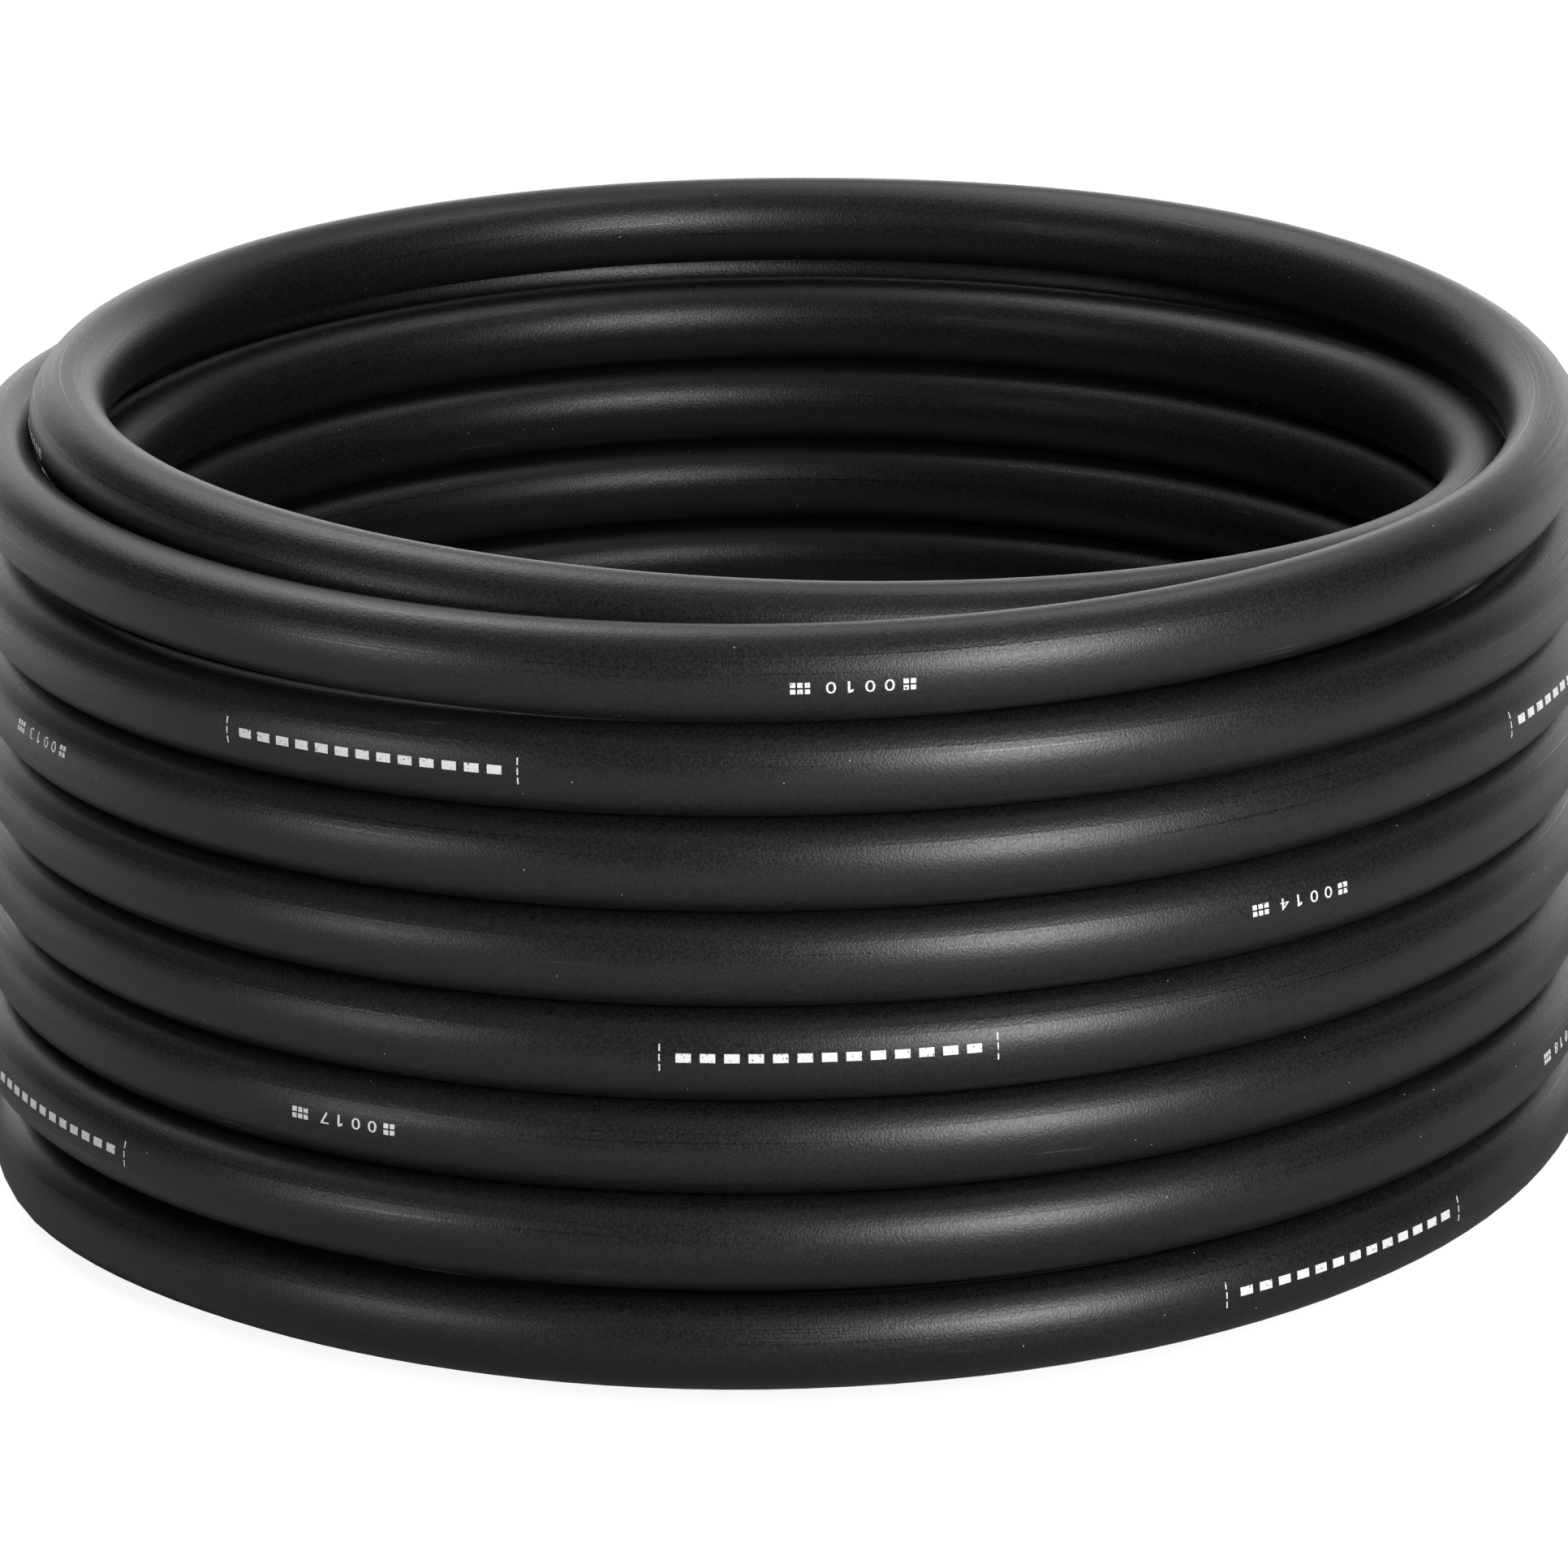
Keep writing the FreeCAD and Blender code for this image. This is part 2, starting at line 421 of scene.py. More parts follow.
def drawn_out(length, width, apart, detail=1.0):
    """Noise in streaks along the pipe, of about this length and width in metres.

    apart moves along the noise, so that no two sets of streaks are alike.
    """
    across = END_RADIUS / width
    where = add(pipe_tree, "ShaderNodeCombineXYZ",
                {0: sum_of(pipe_tree, "MULTIPLY_ADD", along, 1 / length, apart),
                 1: sum_of(pipe_tree, "MULTIPLY", sideways, across),
                 2: sum_of(pipe_tree, "MULTIPLY", upwards, across)}).outputs[0]
    return add(pipe_tree, "ShaderNodeTexNoise", {"Vector": where, "Scale": 1.0, "Detail": detail}).outputs[0]


def scattered(cells_per_metre, apart, radius, rarity):
    """Round specks in a random few of the cells that the space is divided into.

    radius is a share of a cell, rarity the share of cells without a speck. apart moves the cells,
    so that no two sets of specks are alike.
    """
    where = add(pipe_tree, "ShaderNodeVectorMath", {0: place, 1: (apart, apart, apart)},
                operation="ADD").outputs[0]
    cells = add(pipe_tree, "ShaderNodeTexVoronoi", {"Vector": where, "Scale": cells_per_metre}).outputs
    few = sum_of(pipe_tree, "GREATER_THAN",
                 add(pipe_tree, "ShaderNodeSeparateXYZ", {0: cells["Color"]}).outputs["X"], rarity)
    speck = faded(pipe_tree, cells["Distance"], radius, radius * SPECK_CORE)
    return sum_of(pipe_tree, "MULTIPLY", few, speck)


skin = add(pipe_tree, "ShaderNodeGroup", {}, node_tree=grain)
pipe_tree.links.new(place, skin.inputs["Place"])
skin.inputs["Size"].default_value = GRAIN_SIZE
skin.inputs["Depth"].default_value = GRAIN_HEIGHT
drag_lines = drawn_out(length=0.09, width=0.0006, apart=3.0)
broad_bands = drawn_out(length=0.45, width=0.0035, apart=11.0)
polished_lines = faded(pipe_tree, drawn_out(length=0.13, width=0.0006, apart=29.0, detail=0.0),
                       *POLISHED_LINES_SHOW)

height = sum_of(pipe_tree, "MULTIPLY_ADD", drag_lines, DRAG_LINE_HEIGHT, skin.outputs["Height"])
height = sum_of(pipe_tree, "MULTIPLY_ADD", broad_bands, BROAD_BAND_HEIGHT, height)
wander = sum_of(pipe_tree, "MULTIPLY_ADD",
                add(pipe_tree, "ShaderNodeTexNoise", {"W": along, "Scale": WANDERS_A_METRE, "Detail": 1.0},
                    noise_dimensions="1D").outputs[0], DIE_LINES_WANDER, -DIE_LINES_WANDER / 2)
for at, half_width, line_height in DIE_LINES:
    off = sum_of(pipe_tree, "SUBTRACT", sum_of(pipe_tree, "SUBTRACT", around, at), wander)
    line = faded(pipe_tree, sum_of(pipe_tree, "ABSOLUTE", off), half_width / ROUND_THE_PIPE, 0.0)
    height = sum_of(pipe_tree, "MULTIPLY_ADD", line, line_height, height)

# Rubbing: along the lines where turns touch, at the top and bottom of the section, and in patches.
# How far from the top or bottom it ends and is full, as shares of the way round
TOUCH_LINE = (0.055, 0.01)
from_middle = sum_of(pipe_tree, "ABSOLUTE", sum_of(pipe_tree, "SUBTRACT", around, 0.5))
from_touch = sum_of(pipe_tree, "ABSOLUTE", sum_of(pipe_tree, "SUBTRACT", from_middle, 0.25))
touching = sum_of(pipe_tree, "MULTIPLY", faded(pipe_tree, from_touch, *TOUCH_LINE),
                  faded(pipe_tree, drawn_out(length=0.06, width=0.004, apart=47.0), *TOUCHING_SHOWS))
patches = faded(pipe_tree, drawn_out(length=0.05, width=0.007, apart=71.0), *PATCHES_SHOW)
scratches = faded(pipe_tree, drawn_out(length=0.012, width=0.00035, apart=83.0, detail=2.0),
                  *SCRATCHES_SHOW)
rubbed = sum_of(pipe_tree, "MULTIPLY", sum_of(pipe_tree, "MAXIMUM", touching, patches), scratches)
pits = scattered(cells_per_metre=210, apart=0.0, radius=0.085, rarity=0.86)
dust = scattered(cells_per_metre=240, apart=3.1, radius=0.06, rarity=0.91)
height = sum_of(pipe_tree, "MULTIPLY_ADD", rubbed, SCRATCH_HEIGHT, height)
height = sum_of(pipe_tree, "MULTIPLY_ADD", pits, PIT_HEIGHT, height)
height = sum_of(pipe_tree, "MULTIPLY_ADD", dust, DUST_HEIGHT, height)

colour = coloured(pipe_tree, skin.outputs["Tone"], BLACK, GREYER_BLACK)
colour = coloured(pipe_tree, sum_of(pipe_tree, "MULTIPLY", rubbed, RUBBED_COVERS), colour, RUBBED)
colour = coloured(pipe_tree, pits, colour, PIT)
pipe_tree.links.new(coloured(pipe_tree, dust, colour, DUST), shader.inputs["Base Color"])
dullness = sum_of(pipe_tree, "MULTIPLY_ADD", skin.outputs["Tone"], TONE_DULLS,
                  SATIN - (TONE_DULLS + DRAG_LINES_DULL) / 2)
dullness = sum_of(pipe_tree, "MULTIPLY_ADD", drag_lines, DRAG_LINES_DULL, dullness)
dullness = sum_of(pipe_tree, "MULTIPLY_ADD", polished_lines, POLISH_DULLS, dullness)
dullness = sum_of(pipe_tree, "MULTIPLY_ADD", sum_of(pipe_tree, "MAXIMUM", rubbed, dust), RUBBING_DULLS,
                  dullness)
pipe_tree.links.new(dullness, shader.inputs["Roughness"])
pipe_tree.links.new(bumped(pipe_tree, height), shader.inputs["Normal"])

END_LENGTH = 0.06
coil = bpy.data.objects.new("coil_of_pipe", pipe_mesh("coil_of_pipe", coil_line, END_LENGTH,
                                                      coil_sections(coil_line)))
bpy.context.scene.collection.objects.link(coil)
coil.data.materials.append(pipe_material)
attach(coil, "root")
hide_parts("coiled_pipe")

# The cut ends
# The last 60 mm of the same pipe at each end, sawn square, where a fitting goes on. They are round,
# because a fitting needs them so, and the saw has left a fine burr and marks across the face.
BORE_RADIUS = END_RADIUS - WALL
BURR = 0.00035
SAW_MARK = 0.0011
SAW_MARK_HEIGHT = 0.00006
TORN_SIZE = 0.0004
TORN_HEIGHT = 0.00006
SAWN_BLACK = (0.016, 0.016, 0.016, 1)
SAWN_GREY = (0.040, 0.040, 0.040, 1)
SAWN_DULL = 0.6
# How far apart the waves of a wave texture are at a scale of 1
WAVE_LENGTH = 0.314

sawn_material = bpy.data.materials.new("sawn_polyethylene")
sawn_material.use_nodes = True
sawn_tree = sawn_material.node_tree
sawn_shader = sawn_tree.nodes["Principled BSDF"]
sawn_shader.inputs["Roughness"].default_value = SAWN_DULL
sawn_place = add(sawn_tree, "ShaderNodeTexCoord", {}).outputs["Object"]
marks = add(sawn_tree, "ShaderNodeTexWave",
            {"Vector": sawn_place, "Scale": WAVE_LENGTH / SAW_MARK, "Distortion": 2.5, "Detail": 2.0,
             "Detail Scale": 3.0}, bands_direction="Z").outputs[0]
torn = add(sawn_tree, "ShaderNodeGroup", {}, node_tree=grain)
sawn_tree.links.new(sawn_place, torn.inputs["Place"])
torn.inputs["Size"].default_value = TORN_SIZE
torn.inputs["Depth"].default_value = TORN_HEIGHT
sawn_tree.links.new(coloured(sawn_tree, sum_of(sawn_tree, "MULTIPLY", marks, torn.outputs["Tone"]),
                             SAWN_BLACK, SAWN_GREY), sawn_shader.inputs["Base Color"])
sawn_height = sum_of(sawn_tree, "MULTIPLY_ADD", marks, SAW_MARK_HEIGHT, torn.outputs["Height"])
sawn_tree.links.new(bumped(sawn_tree, sawn_height), sawn_shader.inputs["Normal"])


def cut_end_mesh(name, joint, free, joint_at, free_at):
    """The last of the pipe, from the coil to its saw cut: outside, burred edges, face and bore."""
    length = (free - joint).length
    straight = length - BURR
    outside = [(gone, END_RADIUS) for gone in (0.0, END_RING, straight / 2, straight - END_RING, straight)]
    bore = [(gone, BORE_RADIUS) for gone, radius in reversed(outside)]
    profile = outside + [(length, END_RADIUS - BURR), (length, BORE_RADIUS + BURR)] + bore
    onward = (free - joint) / length
    out, up = Vector((-1, 0, 0)), Vector((0, 0, 1))
    made = bmesh.new()
    layer = made.loops.layers.uv.new("along_and_around")
    turns = [2 * math.pi * k / OUTSIDE_SIDES for k in range(OUTSIDE_SIDES)]
    rings = []
    for gone, radius in profile:
        rings.append([made.verts.new(joint + onward * gone + out * (radius * math.cos(turn))
                                     + up * (radius * math.sin(turn))) for turn in turns])
    for index, here in enumerate(rings):
        following = (index + 1) % len(rings)
        there = rings[following]
        flat = len(outside) - 1 <= index <= len(outside) + 1 or following == 0
        for k in range(OUTSIDE_SIDES):
            after = (k + 1) % OUTSIDE_SIDES
            face = made.faces.new((here[k], here[after], there[after], there[k]))
            face.smooth = not flat
            face.material_index = 1 if index == len(outside) else 0
            corners = ((index, k), (index, k + 1), (following, k + 1), (following, k))
            for loop, (which, side) in zip(face.loops, corners):
                share = profile[which][0] / length
                loop[layer].uv = (joint_at + (free_at - joint_at) * share, side / OUTSIDE_SIDES)
    bmesh.ops.recalc_face_normals(made, faces=made.faces)
    mesh = bpy.data.meshes.new(name)
    made.to_mesh(mesh)
    made.free()
    return mesh


for node, name in (("inner_pipe_end", "inner_cut_end"), ("outer_pipe_end", "outer_cut_end")):
    low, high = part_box(node)
    near = Vector(((low.x + high.x) / 2, low.y, (low.z + high.z) / 2))
    away = Vector((near.x, high.y, near.z))
    if node == "inner_pipe_end":
        piece_mesh = cut_end_mesh(name, away, near, END_LENGTH, 0.0)
    else:
        piece_mesh = cut_end_mesh(name, near, away, END_LENGTH + coil_length, 2 * END_LENGTH + coil_length)
    piece = bpy.data.objects.new(name, piece_mesh)
    bpy.context.scene.collection.objects.link(piece)
    piece_mesh.materials.append(pipe_material)
    piece_mesh.materials.append(sawn_material)
    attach(piece, "root")
    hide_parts(node)

# The printed marks
# White ink, put on as the pipe leaves its cooling bath. The metres run from the inner end, each
# number between two blocks of squares, and a plain row of dashes stands halfway to the next one.
FIRST_METRE_AT = 0.8364
METRES = 20
DIGITS_A_MARK = 4
DIGIT_HEIGHT = 0.00315
DIGIT_WIDENING = 1.25
DIGIT_PITCH = 0.00475
DIGIT_CURVE_STEPS = 3
# The flag at the top of a 1: how far it reaches, how far it falls, how thick it is
FLAG = (0.0008, 0.0004, 0.0007)
# The squares: their side, how far apart they are along and round the pipe, and for each block how
# many there are along it and how far its middle is from the number's
SQUARE = 0.00130
SQUARE_PITCH = (0.00178, 0.00177)
SQUARES_BEFORE = (2, -0.0120)
SQUARES_AFTER = (3, 0.0146)
NUMBER_SHIFT = -0.0016
# A row of dashes between two end bars, each of three strokes: length along the pipe, width round it
DASH = (0.0038, 0.0024)
DASH_PITCH = 0.006
DASHES = 13
ROW_HALF_LENGTH = 0.042
ROW_END_BAR = (0.00035, 0.0019)
ROW_END_BAR_PITCH = 0.00266
# How far round the pipe from its outermost line the print has wandered: metre, degrees
PRINT_ROLLS = [(10, -5), (11.5, 1), (13, 16), (14, 9), (15.5, 9), (17, 5), (19.5, 7)]
INK_WHITE = (0.86, 0.86, 0.86, 1)
INK_DULLNESS = (0.42, 0.55)
INK_WORN_SPOTS = 1400.0
INK_WORN_SHOWS = (0.62, 0.72)
# The ink's underside lies this far under the pipe's true oval, where the flat facets of the pipe are
INK_LIFT = -0.00004
INK_THICKNESS = 0.0001
INK_SEAM = 0.000005


def print_roll(metre):
    """How far round the pipe the print stands at a metre, as a length on its surface."""
    before, after = PRINT_ROLLS[0], PRINT_ROLLS[-1]
    metre = min(max(metre, before[0]), after[0])
    for before, after in zip(PRINT_ROLLS, PRINT_ROLLS[1:]):
        if metre <= after[0]:
            break
    share = (metre - before[0]) / (after[0] - before[0])
    return math.radians(before[1] + share * (after[1] - before[1])) * HALF_HEIGHT


def digit_shape(digit):
    """A digit's flat corners and faces, taken from text and brought to the size it is printed at."""
    text = bpy.data.curves.new("digit", "FONT")
    text.body = str(digit)
    text.resolution_u = DIGIT_CURVE_STEPS
    holder = bpy.data.objects.new("digit", text)
    bpy.context.scene.collection.objects.link(holder)
    bpy.context.view_layer.update()
    mesh = bpy.data.meshes.new_from_object(holder.evaluated_get(bpy.context.evaluated_depsgraph_get()))
    xs, ys = [v.co.x for v in mesh.vertices], [v.co.y for v in mesh.vertices]
    size = DIGIT_HEIGHT / (max(ys) - min(ys))
    corners = [((x - (min(xs) + max(xs)) / 2) * size * DIGIT_WIDENING, (y - (min(ys) + max(ys)) / 2) * size)
               for x, y in zip(xs, ys)]
    faces = [tuple(face.vertices) for face in mesh.polygons]
    if digit == 1:
        reach, fall, thick = FLAG
        left, top = min(x for x, y in corners), DIGIT_HEIGHT / 2
        faces.append(tuple(range(len(corners), len(corners) + 4)))
        corners += [(left, top - thick), (left, top),
                    (left - reach, top - fall), (left - reach, top - fall - thick)]
        corners = [(x + reach / 2, y) for x, y in corners]
    bpy.data.objects.remove(holder)
    bpy.data.meshes.remove(mesh)
    return corners, faces


def rectangle(width, height):
    """A flat rectangle's corners and face, with its middle at the origin."""
    x, y = width / 2, height / 2
    return [(-x, -y), (x, -y), (x, y), (-x, y)], [(0, 1, 2, 3)]


def flat_print(name, shapes):
    """A flat mesh of shapes (corners and faces, distance along the pipe, length round it)."""
    vertices, faces = [], []
    for (corners, sides), at, roll in shapes:
        first = len(vertices)
        vertices += [(x + at, y + roll, 0.0) for x, y in corners]
        faces += [tuple(first + corner for corner in side) for side in sides]
    mesh = bpy.data.meshes.new(name)
    mesh.from_pydata(vertices, [], faces)
    return mesh


def laid_on_the_pipe():
    """Geometry Nodes that wrap a flat print round the pipe and give the ink its thickness."""
    tree = bpy.data.node_groups.new("laid_on_the_pipe", "GeometryNodeTree")
    tree.interface.new_socket("Geometry", in_out="INPUT", socket_type="NodeSocketGeometry")
    tree.interface.new_socket("Route", in_out="INPUT", socket_type="NodeSocketObject")
    for name in ("Starts At", "Half Width", "Half Height", "Lift", "Thickness"):
        tree.interface.new_socket(name, in_out="INPUT", socket_type="NodeSocketFloat")
    tree.interface.new_socket("Ink", in_out="INPUT", socket_type="NodeSocketMaterial")
    tree.interface.new_socket("Geometry", in_out="OUTPUT", socket_type="NodeSocketGeometry")
    asked = tree.nodes.new("NodeGroupInput").outputs
    finer = add(tree, "GeometryNodeSubdivideMesh", {"Mesh": asked["Geometry"], "Level": 1}).outputs[0]
    position = add(tree, "GeometryNodeInputPosition", {}).outputs[0]
    on_print = add(tree, "ShaderNodeSeparateXYZ", {0: position}).outputs
    line = add(tree, "GeometryNodeObjectInfo", {"Object": asked["Route"]}).outputs["Geometry"]
    curve = add(tree, "GeometryNodeMeshToCurve", {0: line}).outputs[0]
    gone = sum_of(tree, "SUBTRACT", on_print["X"], asked["Starts At"])
    middle = add(tree, "GeometryNodeSampleCurve", {"Curves": curve, "Length": gone}, mode="LENGTH").outputs

    def vector(operation, first, second=(0, 0, 0), socket=1):
        """One sum on vectors; SCALE takes a number for second, in the socket Scale."""
        return add(tree, "ShaderNodeVectorMath", {0: first, socket: second}, operation=operation).outputs[0]

    out = vector("NORMALIZE", vector("CROSS_PRODUCT", (0, 0, 1), middle["Tangent"]))
    up = vector("CROSS_PRODUCT", middle["Tangent"], out)
    angle = sum_of(tree, "DIVIDE", sum_of(tree, "MULTIPLY", on_print["Y"], -1.0), asked["Half Height"])
    out_by = sum_of(tree, "MULTIPLY", sum_of(tree, "ADD", asked["Half Width"], asked["Lift"]),
                    sum_of(tree, "COSINE", angle))
    up_by = sum_of(tree, "MULTIPLY", sum_of(tree, "ADD", asked["Half Height"], asked["Lift"]),
                   sum_of(tree, "SINE", angle))
    off_middle = vector("ADD", vector("SCALE", out, out_by, "Scale"), vector("SCALE", up, up_by, "Scale"))
    where = vector("ADD", middle["Position"], off_middle)
    laid = add(tree, "GeometryNodeSetPosition", {"Geometry": finer, "Position": where}).outputs[0]
    raised = add(tree, "GeometryNodeExtrudeMesh",
                 {"Mesh": laid, "Offset Scale": asked["Thickness"], "Individual": False}, mode="FACES")
    under = add(tree, "GeometryNodeFlipFaces", {"Mesh": laid})
    both = tree.nodes.new("GeometryNodeJoinGeometry")
    tree.links.new(raised.outputs[0], both.inputs[0])
    tree.links.new(under.outputs[0], both.inputs[0])
    closed = add(tree, "GeometryNodeMergeByDistance", {"Geometry": both.outputs[0], "Distance": INK_SEAM})
    whole = add(tree, "GeometryNodeRealizeInstances", {"Geometry": closed.outputs[0]})
    inked = add(tree, "GeometryNodeSetMaterial", {"Geometry": whole.outputs[0], "Material": asked["Ink"]})
    tree.links.new(inked.outputs[0], tree.nodes.new("NodeGroupOutput").inputs[0])
    return tree


ink = bpy.data.materials.new("white_ink")
ink.use_nodes = True
ink_tree = ink.node_tree
ink_shader = ink_tree.nodes["Principled BSDF"]
ink_place = add(ink_tree, "ShaderNodeTexCoord", {}).outputs["Object"]
ink_grain = add(ink_tree, "ShaderNodeGroup", {}, node_tree=grain)
ink_tree.links.new(ink_place, ink_grain.inputs["Place"])
ink_grain.inputs["Size"].default_value = GRAIN_SIZE
ink_grain.inputs["Depth"].default_value = GRAIN_HEIGHT
ink_spots = add(ink_tree, "ShaderNodeTexNoise",
                {"Vector": ink_place, "Scale": INK_WORN_SPOTS, "Detail": 2.0}).outputs[0]
ink_worn = faded(ink_tree, ink_spots, *INK_WORN_SHOWS)
ink_tree.links.new(coloured(ink_tree, ink_worn, INK_WHITE, GREYER_BLACK), ink_shader.inputs["Base Color"])
ink_tree.links.new(faded(ink_tree, ink_grain.outputs["Tone"], 0.0, 1.0, *INK_DULLNESS),
                   ink_shader.inputs["Roughness"])
ink_tree.links.new(bumped(ink_tree, ink_grain.outputs["Height"]), ink_shader.inputs["Normal"])

digits = [digit_shape(digit) for digit in range(10)]
number_shapes = []
row_shapes = []
for metre in range(METRES):
    at = FIRST_METRE_AT + metre
    roll = -print_roll(metre)
    for index, character in enumerate(f"{metre:0{DIGITS_A_MARK}d}"):
        digit_at = at + NUMBER_SHIFT + (index - (DIGITS_A_MARK - 1) / 2) * DIGIT_PITCH
        number_shapes.append((digits[int(character)], digit_at, roll))
    for count, middle_at in (SQUARES_BEFORE, SQUARES_AFTER):
        for column in range(count):
            column_at = at + NUMBER_SHIFT + middle_at + (column - (count - 1) / 2) * SQUARE_PITCH[0]
            for side in (-0.5, 0.5):
                number_shapes.append((rectangle(SQUARE, SQUARE), column_at, roll + side * SQUARE_PITCH[1]))
    at += 0.5
    roll = -print_roll(metre + 0.5)
    for index in range(DASHES):
        row_shapes.append((rectangle(*DASH), at + (index - (DASHES - 1) / 2) * DASH_PITCH, roll))
    for side in (-1, 1):
        for stroke in (-1, 0, 1):
            row_shapes.append((rectangle(*ROW_END_BAR), at + side * ROW_HALF_LENGTH,
                               roll + stroke * ROW_END_BAR_PITCH))

route_mesh = bpy.data.meshes.new("route_of_print")
route_mesh.from_pydata(coil_line, [(k, k + 1) for k in range(len(coil_line) - 1)], [])
route_holder = bpy.data.objects.new("route_of_print", route_mesh)
bpy.context.scene.collection.objects.link(route_holder)
wrap = laid_on_the_pipe()
for name, shapes in (("metre_numbers", number_shapes), ("dash_rows", row_shapes)):
    flat = bpy.data.objects.new(name + "_flat", flat_print(name + "_flat", shapes))
    bpy.context.scene.collection.objects.link(flat)
    laying = flat.modifiers.new("laid", "NODES")
    laying.node_group = wrap
    values = {"Route": route_holder, "Starts At": END_LENGTH, "Half Width": HALF_WIDTH,
              "Half Height": HALF_HEIGHT, "Lift": INK_LIFT, "Thickness": INK_THICKNESS, "Ink": ink}
    for item in wrap.interface.items_tree:
        if item.in_out == "INPUT" and item.name in values:
            laying[item.identifier] = values[item.name]
    bpy.context.view_layer.update()
    laid_mesh = bpy.data.meshes.new_from_object(flat.evaluated_get(bpy.context.evaluated_depsgraph_get()))
    laid_mesh.name = name
    printed = bpy.data.objects.new(name, laid_mesh)
    bpy.context.scene.collection.objects.link(printed)
    bpy.data.objects.remove(flat)
    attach(printed, "root")
bpy.data.objects.remove(route_holder)

# The floor
# A seamless white table top, wide enough to fill every view. It is white to the eye, keeps the
# coil's soft shadow, and in the pipe's sheen it is brighter behind the coil than in front. Close
# round the coil its glow in the sheen is taken out, as painted shade.
FLOOR_REACH = 20.0
FLOOR_COLOUR = (0.42, 0.42, 0.42, 1)
FLOOR_DULL = 0.9
FLOOR_GLOW = 0.88
FLOOR_GLOW_IN_GLOSS = (0.05, 1.0)
# Where that glow changes: from front to back, and from the coil's middle outwards, in metres.
# Within the second span the glow in the sheen fades out towards the coil, as painted shade.
FLOOR_BRIGHTENS = (-0.4, 1.0)
FLOOR_PAINTED_SHADE_WITHIN = (0.3, 0.75)

floor_mesh = bpy.data.meshes.new("studio_floor")
floor_mesh.from_pydata([(-FLOOR_REACH, -FLOOR_REACH, 0), (FLOOR_REACH, -FLOOR_REACH, 0),
                        (FLOOR_REACH, FLOOR_REACH, 0), (-FLOOR_REACH, FLOOR_REACH, 0)],
                       [], [(0, 1, 2, 3)])
floor = bpy.data.objects.new("studio_floor", floor_mesh)
bpy.context.scene.collection.objects.link(floor)
floor_material = bpy.data.materials.new("white_table_top")
floor_material.use_nodes = True
floor_tree = floor_material.node_tree
floor_shader = floor_tree.nodes["Principled BSDF"]
floor_shader.inputs["Base Color"].default_value = FLOOR_COLOUR
floor_shader.inputs["Roughness"].default_value = FLOOR_DULL
floor_shader.inputs["Specular IOR Level"].default_value = 0.0
floor_shader.inputs["Emission Color"].default_value = (1, 1, 1, 1)
floor_ray = add(floor_tree, "ShaderNodeLightPath", {}).outputs
floor_place = add(floor_tree, "ShaderNodeTexCoord", {}).outputs["Object"]
floor_depth = add(floor_tree, "ShaderNodeSeparateXYZ", {0: floor_place}).outputs["Y"]
floor_behind = faded(floor_tree, floor_depth, *FLOOR_BRIGHTENS, *FLOOR_GLOW_IN_GLOSS)
floor_away = add(floor_tree, "ShaderNodeVectorMath", {0: floor_place}, operation="LENGTH").outputs["Value"]
# Painted shade: close round the coil the floor's glow in the pipe's sheen fades out, so its reflection
# darkens there.
floor_clear_of_painted_shade = faded(floor_tree, floor_away, *FLOOR_PAINTED_SHADE_WITHIN)
in_gloss = sum_of(floor_tree, "MAXIMUM", floor_ray["Is Glossy Ray"], floor_ray["Is Transmission Ray"])
glow_in_gloss = sum_of(floor_tree, "MULTIPLY", sum_of(floor_tree, "MULTIPLY", floor_behind, floor_clear_of_painted_shade),
                       in_gloss)
floor_glow = sum_of(floor_tree, "MULTIPLY_ADD", floor_ray["Is Camera Ray"], FLOOR_GLOW, glow_in_gloss)
floor_tree.links.new(floor_glow, floor_shader.inputs["Emission Strength"])
floor_mesh.materials.append(floor_material)

# The light
# Two softboxes stand in front of the coil, a strong one on the right and a weak one on the left, and
# two weak ones hang high behind it for the sides and the back. Round them is a studio that only the
# pipe's sheen shows: a white backdrop, two reflectors above it, a paler ceiling, and the rest dim.
LAMP_DISTANCE = 0.9
LAMP_AIM = Vector((0.0, -0.2, 0.1))
WATTS_A_SQUARE_METRE = 4
# Each softbox: azimuth from the front to the right, elevation, width and height in degrees, brightness
SOFTBOXES = {
    "right_softbox": (34.5, 20.3, 20, 30, 13.8),
    "left_softbox": (-61, 11, 18, 20, 3.9),
    "right_rear_softbox": (140, 60, 18, 18, 2.4),
    "left_rear_softbox": (-140, 60, 18, 18, 2.4),
}
STUDIO_DIM = 0.03
# The ceiling comes in between two rises of a direction above level, given as the height of its arrow
CEILING = 0.34
CEILING_RISE = (0.6, 0.95)
# The backdrop fades out to its sides, by how nearly a direction heads for its middle, and to its top
BACKDROP = 2.2
BACKDROP_TOWARDS = Vector((0.12, 0.993, 0.0))
BACKDROP_SIDES = (0.58, 0.93)
BACKDROP_TOP = (0.55, 0.2)
# Each reflector: the direction of its middle, and its brightness
REFLECTORS = [(Vector((-0.331, 0.461, 0.823)), 2.6), (Vector((0.442, 0.432, 0.786)), 0.5)]
REFLECTOR_EDGE = (0.88, 0.97)


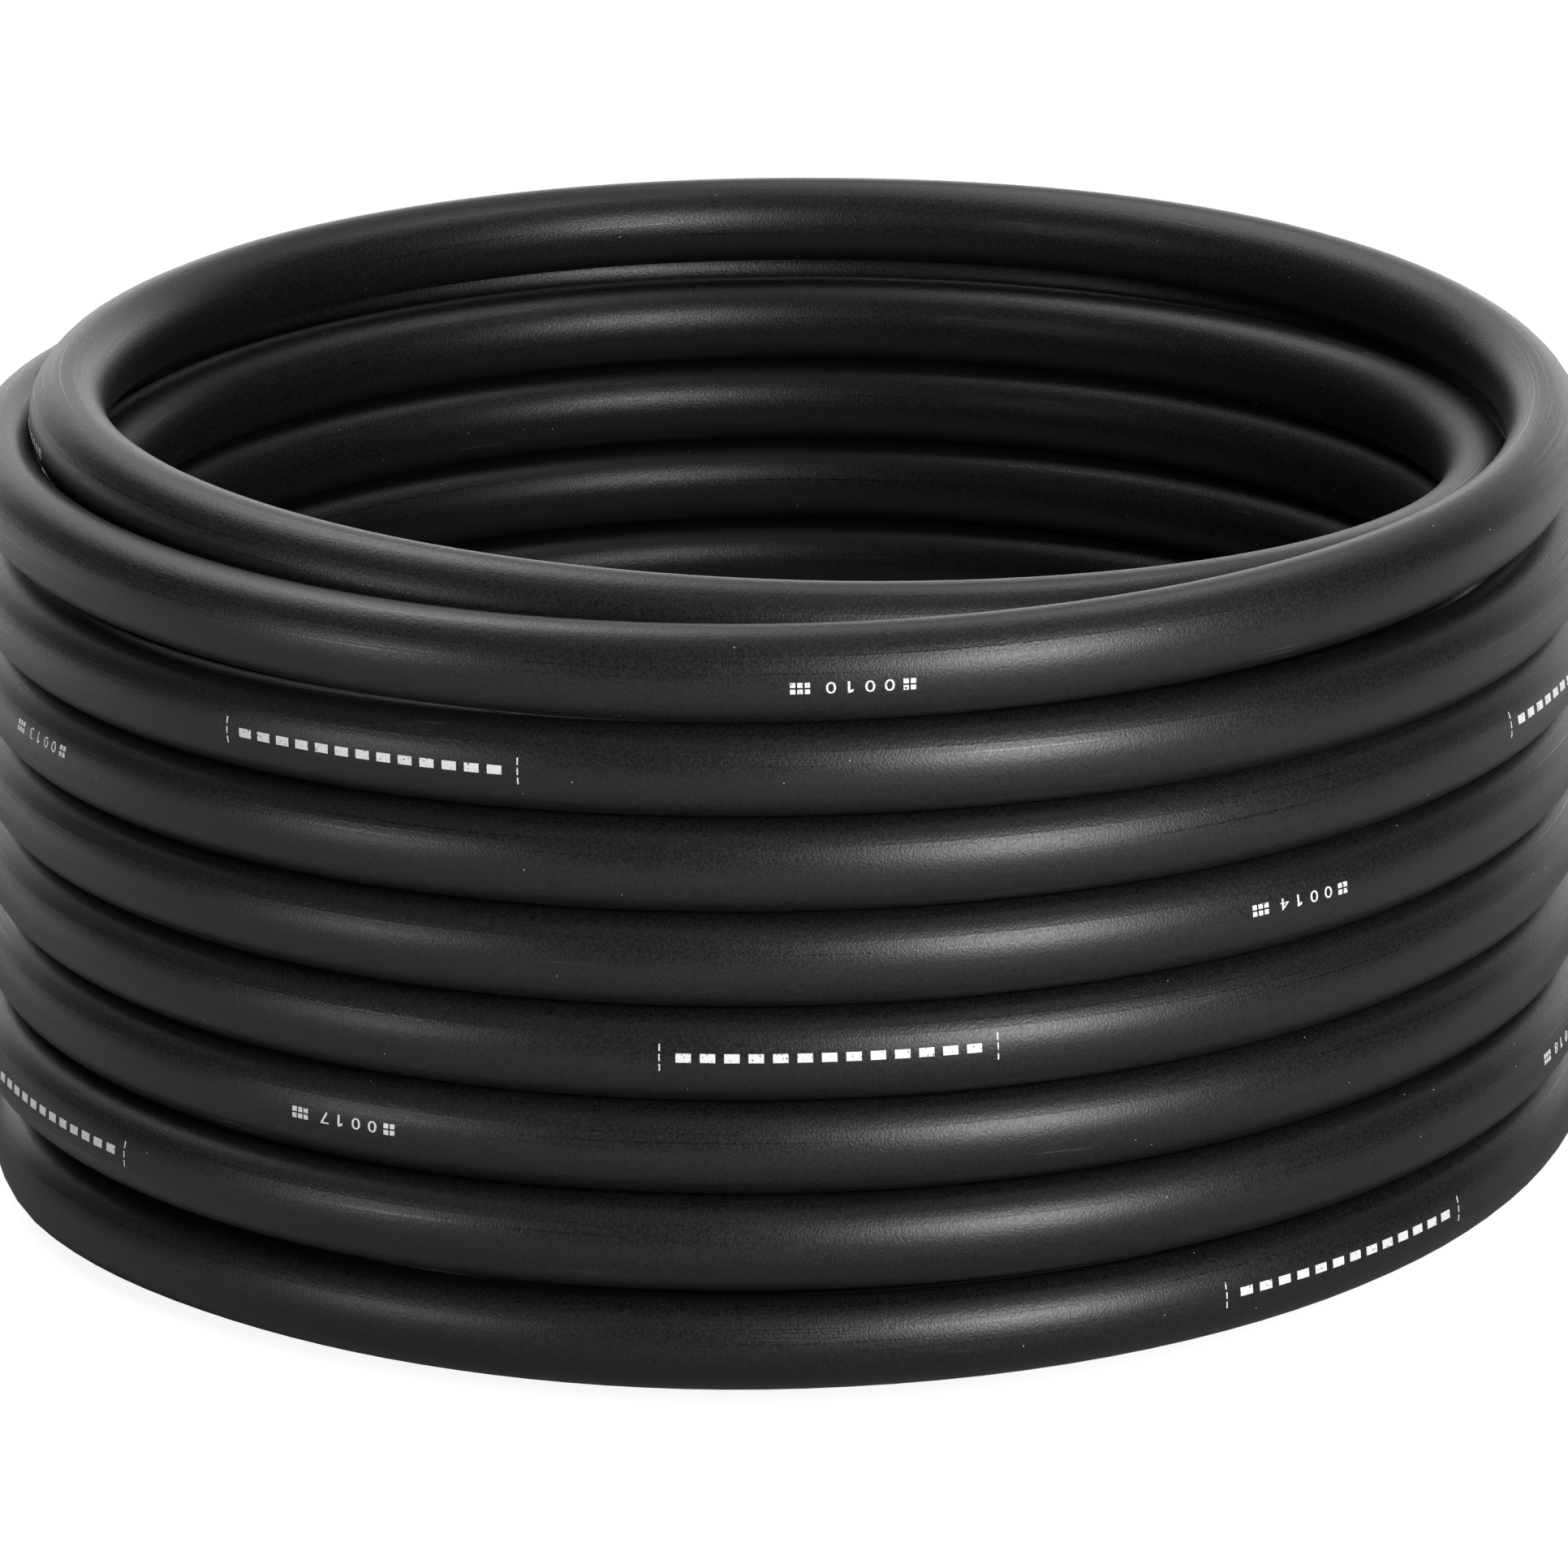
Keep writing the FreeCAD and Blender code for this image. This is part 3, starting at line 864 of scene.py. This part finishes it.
def softbox(name, azimuth, elevation, width, height, brightness):
    """A rectangular lamp that faces the coil, placed and sized by angles as the coil sees them."""
    data = bpy.data.lights.new(name, "AREA")
    data.shape = "RECTANGLE"
    data.size = 2 * LAMP_DISTANCE * math.tan(math.radians(width / 2))
    data.size_y = 2 * LAMP_DISTANCE * math.tan(math.radians(height / 2))
    data.energy = WATTS_A_SQUARE_METRE * brightness * data.size * data.size_y
    lamp = bpy.data.objects.new(name, data)
    bpy.context.scene.collection.objects.link(lamp)
    turn, rise = math.radians(azimuth), math.radians(elevation)
    towards = Vector((math.sin(turn) * math.cos(rise), -math.cos(turn) * math.cos(rise), math.sin(rise)))
    lamp.location = LAMP_AIM + towards * LAMP_DISTANCE
    lamp.rotation_mode = "QUATERNION"
    lamp.rotation_quaternion = (-towards).to_track_quat("-Z", "Y")
    lamp.visible_camera = False


for name, placed in SOFTBOXES.items():
    softbox(name, *placed)

world = bpy.data.worlds.new("studio")
bpy.context.scene.world = world
world.use_nodes = True
world_tree = world.node_tree
background = world_tree.nodes["Background"]
background.inputs["Color"].default_value = (1, 1, 1, 1)
direction = add(world_tree, "ShaderNodeTexCoord", {}).outputs["Generated"]
rising = add(world_tree, "ShaderNodeSeparateXYZ", {0: direction}).outputs["Z"]
facing = add(world_tree, "ShaderNodeVectorMath", {0: direction, 1: BACKDROP_TOWARDS}, operation="DOT_PRODUCT")
backdrop = sum_of(world_tree, "MULTIPLY", faded(world_tree, facing.outputs["Value"], *BACKDROP_SIDES),
                  faded(world_tree, rising, *BACKDROP_TOP, CEILING, BACKDROP))
studio = sum_of(world_tree, "MAXIMUM", backdrop,
                faded(world_tree, rising, *CEILING_RISE, STUDIO_DIM, CEILING))
for towards, brightness in REFLECTORS:
    near = add(world_tree, "ShaderNodeVectorMath", {0: direction, 1: towards}, operation="DOT_PRODUCT")
    reflector = faded(world_tree, near.outputs["Value"], *REFLECTOR_EDGE, 0.0, brightness)
    studio = sum_of(world_tree, "MAXIMUM", studio, reflector)
seen = add(world_tree, "ShaderNodeLightPath", {}).outputs
plain_white = sum_of(world_tree, "MAXIMUM", seen["Is Camera Ray"], seen["Is Transmission Ray"])
world_tree.links.new(sum_of(world_tree, "MAXIMUM", studio, plain_white), background.inputs["Strength"])

bpy.context.scene.view_settings.view_transform = "Standard"
